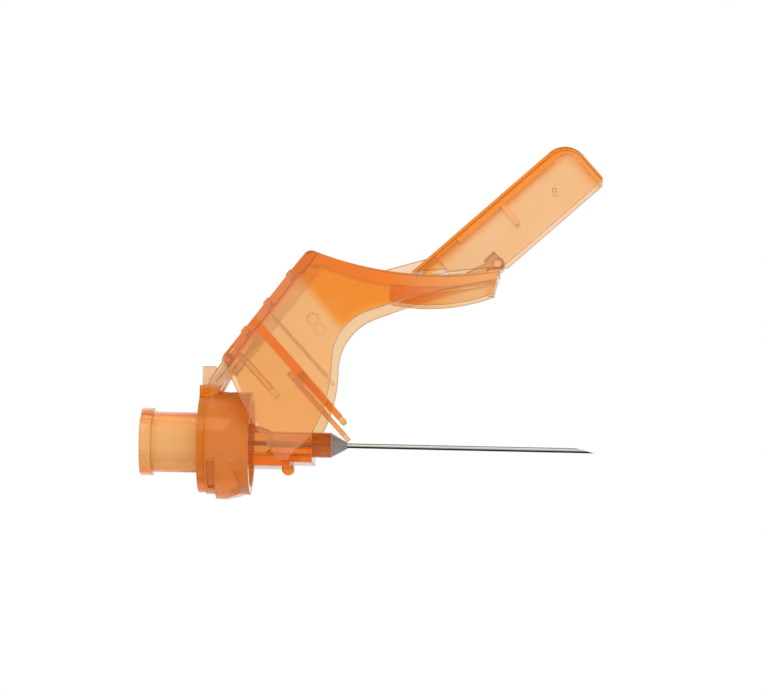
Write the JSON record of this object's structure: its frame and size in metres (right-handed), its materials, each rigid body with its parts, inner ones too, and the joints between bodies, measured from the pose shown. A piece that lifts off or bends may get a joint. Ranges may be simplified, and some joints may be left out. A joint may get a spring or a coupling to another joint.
{
  "type": "safety hypodermic needle",
  "caption": "Hypodermic needle with a tapered lock hub, a bevelled steel cannula and a hinged translucent shield that folds over the point.",
  "frame": {"origin": "centre of the hub socket's open mouth", "axes": "+X along the cannula towards its point, +Z towards the side on which the opened shield stands, +Y completes the frame"},
  "size_m": [0.0466, 0.0122, 0.0367],
  "materials": {
    "hub_plastic": "translucent orange polypropylene, moulded",
    "cannula_steel": "drawn stainless steel tube, ground point",
    "adhesive": "cured grey epoxy",
    "shield_plastic": "translucent orange polypropylene, moulded"
  },
  "bodies": {
    "hub": {"needle_hub": "hub_plastic", "cannula": "cannula_steel", "adhesive_bead": "adhesive", "shield_collar": "shield_plastic"},
    "lever": {"shield_lever": "shield_plastic"},
    "sheath": {"needle_sheath": "shield_plastic"}
  },
  "joints": [
    {"name": "lever_hinge", "type": "hinge", "parent": "hub", "child": "lever", "pos_m": [0.00878, 0, 0.00836], "axis": [0, 1, 0], "range_deg": [0, 33.4]},
    {"name": "sheath_hinge", "type": "hinge", "parent": "lever", "child": "sheath", "pos_m": [0.03603, 0, 0.01883], "axis": [0, 1, 0], "range_deg": [0, 33.5]}
  ]
}
